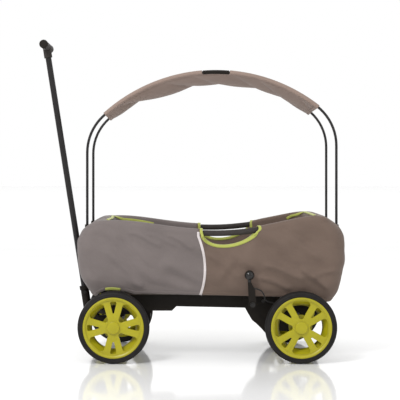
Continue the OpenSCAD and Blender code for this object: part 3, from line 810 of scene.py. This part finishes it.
def cover_column(s, point):
    """One column from the hem up, over the rim and down to the floor, and whether it ends at a hand slot."""
    if point is None:
        v_top = sleeve_foot(s)
        z_top = rim_z(shell(s, v_top).x) - HEM_DROP
    else:
        v_top, z_top = v_at(*point), point[1]
    slotted = point is not None and rim_z(point[0]) - point[1] >= HEM_DROP + 1e-4
    v_low = arch_start(s)
    points = [wall_out(s, v) for v in through(v_low, v_top, OUTER_ROWS)]
    inner = lining(s, z_top, v_top)
    for k in range(1, SLEEVE_ROWS):
        q = k / SLEEVE_ROWS
        if slotted:
            crown = Vector((0, 0, 0.0012 * math.sin(q * math.pi)))
            points.append(points[OUTER_ROWS].lerp(inner, q) + crown)
        else:
            points.append(over_rim(s, q, v_top) + Vector((sleeve_shift(s, q, v_top), 0, 0)))
    x = points[OUTER_ROWS].x
    for k in range(LINING_ROWS + 1):
        z = lerp(z_top, FLOOR_Z, k / LINING_ROWS)
        p = lining(s, z, v_at(x, max(z, hem_z(x))))
        inward = Vector((p.x - 0.08, p.y, 0)).normalized() * -1
        away = math.sin(k / LINING_ROWS * math.pi)
        points.append(p + inward * (0.0016 * (1 + fold(p * 1.3)) * away))
    return points, slotted


def make_cover(name, front, look):
    """One end's fabric cover, in one skin from its hem to the lining's foot."""
    columns = [cover_column(s, point) for s, point in cover_columns(front)]
    count = len(columns[0][0])
    points = [p for column, _ in columns for p in column]
    slotted = [column[1] for column in columns]
    last_sleeve = OUTER_ROWS + SLEEVE_ROWS

    def skip(i, j):
        over = OUTER_ROWS <= j < last_sleeve
        return over and slotted[i] != slotted[i + 1]

    faces = grid_faces(len(columns), count, skip=skip)
    piece = make_piece(name, points, faces, look)
    thicken(piece, 0.0012, -1)
    return piece


def ribbon(name, stations, width, height, look, profile=((-0.5, -0.15), (-0.5, 0.7), (-0.25, 1), (0.25, 1),
                                                         (0.5, 0.7), (0.5, -0.15))):
    """A narrow band on a surface. Each station is (point, direction across the band, surface normal)."""
    rings = []
    for point, across, out in stations:
        rings.append([point + across * (width * a) + out * (height * b) for a, b in profile])
    return sweep(name, rings, look)


def framed(points, outs, offset=0.0):
    """Stations for ribbon() along a path, moved sideways within the surface by offset."""
    stations = []
    for k, (point, out) in enumerate(zip(points, outs)):
        along = (points[min(k + 1, len(points) - 1)] - points[max(k - 1, 0)]).normalized()
        across = along.cross(out).normalized()
        stations.append((point + across * offset, across, out))
    return stations


def join(name, pieces):
    """Joins several pieces into one."""
    bpy.ops.object.select_all(action="DESELECT")
    for piece in pieces:
        piece.select_set(True)
    bpy.context.view_layer.objects.active = pieces[0]
    bpy.ops.object.join()
    pieces[0].select_set(False)
    pieces[0].name = name
    pieces[0].data.name = name
    return pieces[0]


def seam_piping(looks):
    """White piping down both seams between the front and rear covers."""
    made = []
    for s in (3.0, 9.0):
        v_top = sleeve_foot(s)
        heights = through(0.0, v_top, 60)
        points = [wall_out(s, v) for v in heights]
        outs = [shell_out(s, v) for v in heights]
        for k in range(1, 6):
            points.append(over_rim(s, 0.05 * k, v_top))
            outs.append(Vector((0, math.copysign(1, points[0].y), 0.0)))
        made.append(ribbon("piping", framed(points, outs), 0.009, 0.0022, looks["piping"]))
    return join("seam_piping", made)


# Half of the tape's section at a hand slot: depth into the cloth from its edge, and how proud of its face
SLOT_TAPE = ((0.0092, 0.0008), (0.0087, 0.0019), (0.0045, 0.0024), (-0.0008, 0.0020))
TAPE_CROWN = 0.0016  # how far the tape's middle stands beyond the edge


def slot_binding(side, looks):
    """Lime tape folded over the joined layers along a hand slot's edge."""
    columns = SLOT_COLUMNS
    rings = []
    for k, (_, x, z) in enumerate(columns):
        before, after = columns[max(k - 1, 0)], columns[min(k + 1, len(columns) - 1)]
        along = Vector((after[1] - before[1], 0, after[2] - before[2])).normalized()
        into = Vector((along.z, 0, -along.x))
        outer = [slot_layer(side, x, z, into, depth, proud, True) for depth, proud in SLOT_TAPE]
        inner = [slot_layer(side, x, z, into, depth, proud, False) for depth, proud in SLOT_TAPE[::-1]]
        rings.append(outer + [(outer[-1] + inner[0]) / 2 - into * TAPE_CROWN] + inner)
    return sweep("slot_binding", rings, looks["binding"])


def slot_layer(side, x, z, into, depth, proud, outer):
    """A point on one cloth layer near a slot's edge: depth into the cloth, and proud of its face."""
    px, pz = x + into.x * depth, z + into.z * depth
    s = solve_column(px, pz)
    s = s if side > 0 else 12 - s
    v = v_at(px, pz)
    if outer:
        return wall_out(s, v, proud)
    p = lining(s, pz, v)
    return p - Vector((0, math.copysign(proud, p.y), 0))


CUFF_WIDTH, CUFF_HEIGHT = 0.009, 0.0022
# Section of the cuff's tape, as shares of its width and height
CUFF_PROFILE = ((-0.12, -0.5), (-0.12, 0.9), (0.2, 1.1), (0.8, 1.1), (1.0, 0.8), (1.0, -0.5))


def sleeve_cuff(side, first, looks):
    """Lime tape round the end of the rim's sleeve, at one end of a hand slot."""
    s, x, z = SLOT_COLUMNS[0] if first else SLOT_COLUMNS[-1]
    v_top = v_at(x, z)
    s = s if side > 0 else 12 - s
    away = -1 if first else 1
    rings = []
    for k in range(29):
        q = k / 28
        shift = Vector((sleeve_shift(s, q, v_top), 0, 0))
        base, lifted = over_rim(s, q, v_top) + shift, over_rim(s, q, v_top, CUFF_HEIGHT) + shift
        rings.append([base.lerp(lifted, b) + Vector((away * CUFF_WIDTH * a, 0, 0)) for a, b in CUFF_PROFILE])
    overlap = Vector((0.0 if first else -0.005, 0, -0.006))
    rings.insert(0, [point + overlap for point in rings[0]])
    return sweep("sleeve_cuff", rings, looks["binding"])


def hand_slot_trim(looks):
    made = []
    for side in (-1, 1):
        made.append(slot_binding(side, looks))
        made += [sleeve_cuff(side, first, looks) for first in (True, False)]
    return join("hand_slot_binding", made)


HEM_STEPS = 900
# What trims each stretch of the lower edge, by its look: (piece's name, width, height)
HEM_KINDS = {"binding": ("arch_binding", 0.010, 0.0024),
             "grey": ("front_hem", 0.013, 0.0012),
             "brown": ("rear_hem", 0.013, 0.0012)}


def hem_runs():
    """The tub's lower edge in stretches of one kind, each as (kind, points, outward normals)."""
    runs = []
    for s in through(-3, 9, HEM_STEPS):
        v = arch_start(s)
        point, out = wall_out(s, v), shell_out(s, max(v, 0.03))
        taped = v > 0 and TAPE_FROM < point.x < TAPE_TO
        kind = "binding" if taped else "grey" if s <= 3 else "brown"
        if not runs or runs[-1][0] != kind:
            for _, points, outs in runs[-1:]:
                points.append(point)
                outs.append(out)
            runs.append((kind, [], []))
        runs[-1][1].append(point)
        runs[-1][2].append(out)
    return [run for run in runs if len(run[1]) > 2]


def hem_trim(looks):
    """Lime tape on part of the front wheel arches, and a turned hem along the rest of the lower edge."""
    made = {kind: [] for kind in HEM_KINDS}
    for kind, points, outs in hem_runs():
        _, width, height = HEM_KINDS[kind]
        made[kind].append(ribbon("hem", framed(points, outs, width * 0.42), width, height, looks[kind]))
    return [join(name, made[kind]) for kind, (name, _, _) in HEM_KINDS.items()]


def end_binding(low_s, high_s, reach, name, looks):
    """Lime tape on the opening's inner edge: across one end on top of the rim, then down inside it."""
    points, outs = [], []
    for s in through(low_s, high_s, 180):
        t = to_first_side(s)
        past = smoothstep((t - 0.9) / 1.0) if t < 3 else smoothstep((5.1 - t) / 1.0)
        run = max(0.0, (t - 2) / (reach - 2)) if t < 3 else max(0.0, (4 - t) / (4 - reach))
        q = lerp(0.70, 0.84, past) + 0.13 * min(run, 1)
        v_top = sleeve_foot(s)
        here = over_rim(s, q, v_top)
        up = (over_rim(s, q - 0.01, v_top) - over_rim(s, q + 0.01, v_top)).normalized()
        beside = (over_rim(s + 0.01, q, v_top) - over_rim(s - 0.01, q, v_top)).normalized()
        out = beside.cross(up).normalized()
        if out.dot(Vector((0.08, 0, 0.9)) - here) < 0:
            out = -out
        points.append(here)
        outs.append(out)
    return ribbon(name, framed(points, outs), 0.010, 0.003, looks["binding"])


# ---------- the canopy ----------

HOOP_MID_X = FRONT_AXLE.x + 0.364
ARC_R, ARC_Z = 0.600, 0.435
HOOP_Y = 0.147
CANOPY_FROM, CANOPY_TO = 52.0, 132.0
SLEEVE_R = 0.0076
# Where the cloth is pulled tight from hoop to hoop, how far it hangs there, and how much lower each
# lobe behind a crease hangs
CREASES = (52, 67, 76.5, 90, 100.5, 120, 132)
CREASE_SAGS = (0.012, 0.017, 0.017, 0.027, 0.025, 0.006, 0.010)
LOBE_SAGS = (0.016, 0.013, 0.014, 0.011, 0.031, 0.019)
CREASE_SLANT = 9.0  # how far each crease runs on across half the width
NOTCH = 4.95  # half-angle of the gap in the sleeves at the joiners
LIP_SHARE = 0.11  # share of the half-width that rises into a sleeve
CANOPY_STEPS = 200


def canopy_point(angle, y, above):
    turn = math.radians(angle)
    reach = ARC_R + above
    return Vector((HOOP_MID_X + reach * math.cos(turn), y, ARC_Z + reach * math.sin(turn)))


def canopy_sag(angle, y):
    """How far the cloth hangs below the hoops: a shallow trough, in lobes between slanted creases."""
    across = y / HOOP_Y
    trough = max(0.0, 1 - across * across)
    slanted = min(max(angle + CREASE_SLANT * across, CREASES[0]), CREASES[-1] - 1e-6)
    k = max(i for i, crease in enumerate(CREASES) if crease <= slanted)
    share = (slanted - CREASES[k]) / (CREASES[k + 1] - CREASES[k])
    sag = lerp(CREASE_SAGS[k], CREASE_SAGS[k + 1], share)
    lobe = LOBE_SAGS[k] * math.sin(math.pi * share) ** 0.65
    p = Vector((angle * 0.11, y * 14, 2.2))
    return trough * (sag + lobe + 0.0020 * noise.noise(p))


def canopy_height(angle, y):
    """How far the cloth stands above the arc: a lip beside each sleeve, less the sag."""
    lip = SLEEVE_R * max(0.0, 1 - (1 - abs(y) / HOOP_Y) / LIP_SHARE) ** 0.5
    return lip - canopy_sag(angle, y)


def canopy_across(angle):
    """One line across the canopy: round the left rod's sleeve, over the trough, round the right one's."""
    band = [(u * HOOP_Y, canopy_height(angle, u * HOOP_Y)) for u in through(-1, 1, 32)]
    sleeve = []
    for degrees in through(-18, -262, 12):
        turn = math.radians(degrees)
        sleeve.append((-HOOP_Y + SLEEVE_R * math.cos(turn), SLEEVE_R * math.sin(turn)))
    return sleeve + band + [(-y, above) for y, above in sleeve[::-1]], len(sleeve)


def make_canopy_sheet(looks):
    points = []
    angles = through(CANOPY_FROM, CANOPY_TO, CANOPY_STEPS)
    for angle in angles:
        line, tube = canopy_across(angle)
        points += [canopy_point(angle, y, above) for y, above in line]
    count = len(line)

    def skip(i, j):
        notched = abs((angles[i] + angles[i + 1]) / 2 - 90) < NOTCH
        return notched and (j < tube + 1 or j >= count - tube - 2)

    faces = grid_faces(len(angles), count, skip=skip)
    sheet = make_piece("canopy_sheet", points, faces, looks["canopy"])
    thicken(sheet, 0.0009, 0)
    return sheet


def canopy_seams(looks):
    """Stitching along the inner side of each sleeve, under the cloth."""
    seams = []
    for side in (-1, 1):
        y = side * (HOOP_Y - 0.0125)
        for low, high in ((CANOPY_FROM, 90 - NOTCH), (90 + NOTCH, CANOPY_TO)):
            stations = []
            for angle in through(low, high, 70):
                turn = math.radians(angle)
                down = Vector((-math.cos(turn), 0, -math.sin(turn)))
                here = canopy_point(angle, y, canopy_height(angle, y) - 0.0016)
                stations.append((here, Vector((0, 1, 0)), down))
            seams.append(ribbon("sleeve_seam", stations, 0.004, 0.0012, looks["stitch"]))
    return join("canopy_sleeve_seams", seams)


def canopy_hems(looks):
    """A turned hem on both faces at each end."""
    hems = []
    for angle in (CANOPY_FROM + 0.6, CANOPY_TO - 0.6):
        turn = math.radians(angle)
        along = Vector((-math.sin(turn), 0, math.cos(turn)))
        for face in (-1, 1):
            out = Vector((math.cos(turn), 0, math.sin(turn))) * face
            stations = []
            for u in through(-1, 1, 48):
                y = u * (HOOP_Y - 0.004)
                above = canopy_height(angle, y) + face * 0.0004
                stations.append((canopy_point(angle, y, above), along, out))
            hems.append(ribbon("end_hem", stations, 0.013, 0.0011, looks["canopy"]))
    return join("canopy_end_hems", hems)


def make_canopy(looks):
    sheet = make_canopy_sheet(looks)
    seam = canopy_seams(looks)
    hem = canopy_hems(looks)
    for piece in (sheet, seam, hem):
        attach(piece, "canopy")
    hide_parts("canopy_fabric")


# ---------- wheels ----------

TYRE_R = 0.127
TREAD_HALF = 0.0125  # half-width of the flat of the tread
TREAD_CROWN = 0.0013
TREAD_GROOVES = (0.0088, 0.003, -0.003, -0.0088)
GROOVE_HALF, GROOVE_DEPTH = 0.0008, 0.0011
# Side of a tyre from its seat on the rim to the tread, as distance from its middle plane and radius
TYRE_SIDE = ((0.0170, 0.1050), (0.0200, 0.1072), (0.0209, 0.1110), (0.0208, 0.1146), (0.0202, 0.1151),
             (0.0206, 0.1158), (0.0204, 0.1192), (0.0190, 0.1226), (0.0164, 0.1246), (TREAD_HALF, 0.1257))
# The barrel behind the spokes narrows towards the wagon; distance from the middle plane and radius
BARREL = ((0.0130, 0.0985), (0.0060, 0.0935), (-0.0060, 0.0835), (-0.0160, 0.0760), (-0.0172, 0.0775),
          (-0.0165, 0.0800), (-0.0060, 0.0870), (0.0060, 0.0970), (0.0110, 0.0995))


def lathe(name, centre, profile, look, steps=144):
    """A ring turned round a wheel's axis; the closed profile is in pairs of distance along Y and radius."""
    rings = []
    for k in range(steps):
        turn = 2 * math.pi * k / steps
        rings.append([centre + Vector((radius * math.cos(turn), along, radius * math.sin(turn)))
                      for along, radius in profile])
    return sweep(name, rings, look, closed=True)


def softened(name, node, look, width):
    """A copy of a CAD node with its flat faces merged and its hard edges rounded."""
    mesh = nodes[node].data.copy()
    mesh.transform(nodes[node].matrix_world)
    work = bmesh.new()
    work.from_mesh(mesh)
    bmesh.ops.remove_doubles(work, verts=work.verts, dist=0.00001)
    bmesh.ops.dissolve_limit(work, angle_limit=math.radians(0.5), verts=work.verts, edges=work.edges)
    work.to_mesh(mesh)
    work.free()
    mesh.name = name
    piece = put(name, mesh)
    dress(piece, look)
    modify(piece, "BEVEL", width=width, segments=3, limit_method="ANGLE", angle_limit=math.radians(32))
    bake_modifiers(piece)
    piece.data.shade_smooth()
    piece.data.set_sharp_from_angle(angle=math.radians(28))
    return piece


def tyre_profile():
    def crown(along):
        return TYRE_R - TREAD_CROWN * (along / TREAD_HALF) ** 2

    tread = []
    for groove in TREAD_GROOVES:
        top = crown(groove)
        tread += [(groove + GROOVE_HALF, top), (groove + GROOVE_HALF * 0.6, top - GROOVE_DEPTH),
                  (groove - GROOVE_HALF * 0.6, top - GROOVE_DEPTH), (groove - GROOVE_HALF, top)]
        if groove == 0.003:
            tread.append((0.0, TYRE_R))
    return list(TYRE_SIDE) + tread + [(-along, radius) for along, radius in TYRE_SIDE[::-1]]


def make_wheel(wheel, looks):
    body = wheel + "_wheel"
    centre = middle(wheel + "_tyre")
    outward = math.copysign(1, centre.y)
    tyre = lathe(wheel + "_tyre_visual", centre, tyre_profile(), looks["tyre"])
    rim = softened(wheel + "_rim_spokes", wheel + "_rim", looks["lime"], 0.0014)
    barrel = lathe(wheel + "_barrel", centre, [(outward * along, r) for along, r in BARREL], looks["lime"])
    rim = join(wheel + "_rim_visual", [rim, barrel])
    cap = softened(wheel + "_cap_visual", wheel + "_hub_cap", looks["lime"], 0.0006)
    for piece, part in ((tyre, "tyre"), (rim, "rim"), (cap, "hub_cap")):
        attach(piece, body)
        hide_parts(wheel + "_" + part)


# ---------- brake cable ----------

LEVER_X = middle("brake_shaft").x
CABLE_R = 0.0025
CABLE_FERRULE = 0.0007  # how far the end sleeves stand out
CABLE_STEPS, FERRULE_STEPS = 112, 7
# The cable's route from the lever to the left bracket: mm behind the lever, across and up
CABLE = ((4, -250, 263), (12, -250, 262), (20, -250, 260), (28, -249, 256), (35, -246, 249),
         (40, -243, 240), (43, -239, 230), (46, -232, 222), (52, -222, 216), (62, -208, 211),
         (76, -192, 206), (92, -178, 199), (108, -168, 190), (122, -163, 181), (136, -161, 173),
         (150, -160, 167))


def curve_point(points, t):
    """A point on the smooth curve through the points; t runs from 0 to the last point's number."""
    k = min(int(t), len(points) - 2)
    u = t - k
    p0, p1 = points[max(k - 1, 0)], points[k]
    p2, p3 = points[k + 1], points[min(k + 2, len(points) - 1)]
    return 0.5 * (2 * p1 + (p2 - p0) * u + (2 * p0 - 5 * p1 + 4 * p2 - p3) * u * u
                  + (3 * p1 - p0 - 3 * p2 + p3) * u ** 3)


def make_brake_cable(looks):
    route = [Vector((LEVER_X + x * MM, y * MM, z * MM)) for x, y, z in CABLE]
    steps, last = CABLE_STEPS, len(route) - 1
    line = [curve_point(route, last * k / steps) for k in range(steps + 1)]
    rings = []
    for k, point in enumerate(line):
        along = (line[min(k + 1, steps)] - line[max(k - 1, 0)]).normalized()
        side = along.cross(Vector((0, 0.3, 1))).normalized()
        up = side.cross(along)
        at_end = k < FERRULE_STEPS or k > steps - FERRULE_STEPS
        radius = CABLE_R + (CABLE_FERRULE if at_end else -0.0001)
        rings.append([point + radius * (side * math.cos(a) + up * math.sin(a))
                      for a in (math.pi * j / 8 for j in range(16))])
    cable = sweep("brake_cable_sheath", rings, looks["sheath"])
    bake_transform(cable)
    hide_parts("brake_cable")


# ---------- the padded floor ----------

PAD_START = 0.0028  # how much smaller than its box the pad starts
PAD_MOTION = 0.0042  # furthest that the filling may push its cover
PAD_SEAMS = (-0.110, 0.077, 0.264) # where the pad is sewn through, along X
PAD_SEAM_HALF = 0.010
PAD_SEAM_DEPTH = 0.0052
PAD_VOXEL = 0.0055
PAD_CORNER = 0.030
PAD_FRAMES = 20  # length of the filling's simulation
STITCH_BESIDE = 0.0022  # how far each line of stitching runs from a seam's middle
STITCH_INSET = 0.012  # how far it stops short of the pad's edge
STITCH_DEPTH = 0.0076  # how far it lies below the pad's highest point


def pad_start_mesh(low, high, look):
    """The pad before it is filled: a box with round edges, in even facets."""
    size = high - low
    centre = (low + high) / 2
    mesh = bpy.data.meshes.new("floor_pad_cushion")
    work = bmesh.new()
    bmesh.ops.create_cube(work, size=1.0)
    bmesh.ops.scale(work, vec=size - Vector((PAD_START, PAD_START, PAD_START)) * 2, verts=work.verts)
    bmesh.ops.translate(work, vec=centre, verts=work.verts)
    uprights = [e for e in work.edges if abs(e.verts[0].co.z - e.verts[1].co.z) > 0.005]
    bmesh.ops.bevel(work, geom=uprights, offset=PAD_CORNER, segments=6, affect="EDGES", profile=0.5)
    work.to_mesh(mesh)
    work.free()
    pad = put("floor_pad_cushion", mesh)
    mesh.materials.append(look)
    modify(pad, "REMESH", mode="VOXEL", voxel_size=PAD_VOXEL)
    bake_modifiers(pad)
    return pad


def fill_pad(pad):
    """Blows the cover up between its sewn lines, as its filling does, and holds the motion to a few mm."""
    start = [v.co.copy() for v in pad.data.vertices]
    pinned = pad.vertex_groups.new(name="sewn")
    sewn = [v.index for v in pad.data.vertices if min(abs(v.co.x - x) for x in PAD_SEAMS) < PAD_VOXEL * 0.7]
    pinned.add(sewn, 1.0, "REPLACE")
    settings = modify(pad, "CLOTH").settings
    settings.quality = 5
    settings.use_pressure = True
    settings.uniform_pressure_force = 4
    settings.vertex_group_mass = "sewn"
    settings.effector_weights.gravity = 0
    for number in range(1, PAD_FRAMES + 1):
        scene.frame_set(number)
    bake_modifiers(pad)
    scene.frame_set(1)
    for vertex, before in zip(pad.data.vertices, start):
        push = vertex.co - before
        if push.length > PAD_MOTION:
            vertex.co = before + push * (PAD_MOTION / push.length)


def sew_pad(pad, low, high):
    """Draws the cover in along the sewn lines, with small puckers, and keeps it inside its box."""
    middle_z = (low.z + high.z) / 2
    for vertex in pad.data.vertices:
        p = vertex.co
        if p.z > middle_z:
            near = min(abs(p.x - x) for x in PAD_SEAMS)
            channel = math.exp(-(near / PAD_SEAM_HALF) ** 2)
            pucker = noise.noise(Vector((p.x * 30, p.y * 150, 4.4))) * math.exp(-(near / 0.022) ** 2)
            edge = min(p.y - low.y, high.y - p.y, p.x - low.x, high.x - p.x)
            crown = smoothstep(edge / 0.045)
            soft = noise.noise(Vector((p.x * 16, p.y * 16, 0.7)))
            p.z -= PAD_SEAM_DEPTH * channel + 0.0012 * (1 - crown) + 0.0008 * pucker + 0.0005 * soft
        for axis in range(3):
            p[axis] = min(max(p[axis], low[axis] + 0.0003), high[axis] - 0.0002)


def make_pad(looks):
    low, high = (Vector(corner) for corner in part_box("floor_pad"))
    pad = pad_start_mesh(low, high, looks["pad"])
    fill_pad(pad)
    modify(pad, "SUBSURF", levels=1, render_levels=1)
    bake_modifiers(pad)
    sew_pad(pad, low, high)
    pad.data.shade_smooth()

    lines = []
    for x in PAD_SEAMS:
        for beside in (-STITCH_BESIDE, STITCH_BESIDE):
            places = [Vector((x + beside, y, high.z - STITCH_DEPTH))
                      for y in through(low.y + STITCH_INSET, high.y - STITCH_INSET, 60)]
            stations = [(place, Vector((1, 0, 0)), Vector((0, 0, 1))) for place in places]
            lines.append(ribbon("line", stations, 0.0014, 0.0009, looks["stitch"]))
    stitching = join("floor_pad_stitching", lines)
    for piece in (pad, stitching):
        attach(piece, "chassis")
    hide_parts("floor_pad")


# ---------- everything together ----------

def make_tub(looks):
    front = make_cover("tub_front_cover", True, looks["grey"])
    rear = make_cover("tub_rear_cover", False, looks["brown"])
    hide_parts("left_front_panel", "right_front_panel", "front_end_panel")
    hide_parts("left_rear_panel", "right_rear_panel", "rear_end_panel")
    piping = seam_piping(looks)
    slot_tape = hand_slot_trim(looks)
    arch_tape, front_hem, rear_hem = hem_trim(looks)
    front_tape = end_binding(-FRONT_TAPE_END, FRONT_TAPE_END, FRONT_TAPE_END, "front_end_binding", looks)
    rear_tape = end_binding(REAR_TAPE_END, 12 - REAR_TAPE_END, REAR_TAPE_END, "rear_end_binding", looks)
    for piece in (front, rear, piping, slot_tape, arch_tape, front_hem, rear_hem, front_tape, rear_tape):
        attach(piece, "chassis")


make_camera()
make_stage()
looks = make_materials()
dress_nodes(looks)
make_tub(looks)
make_canopy(looks)
for wheel in WHEELS:
    make_wheel(wheel, looks)
make_brake_cable(looks)
make_pad(looks)
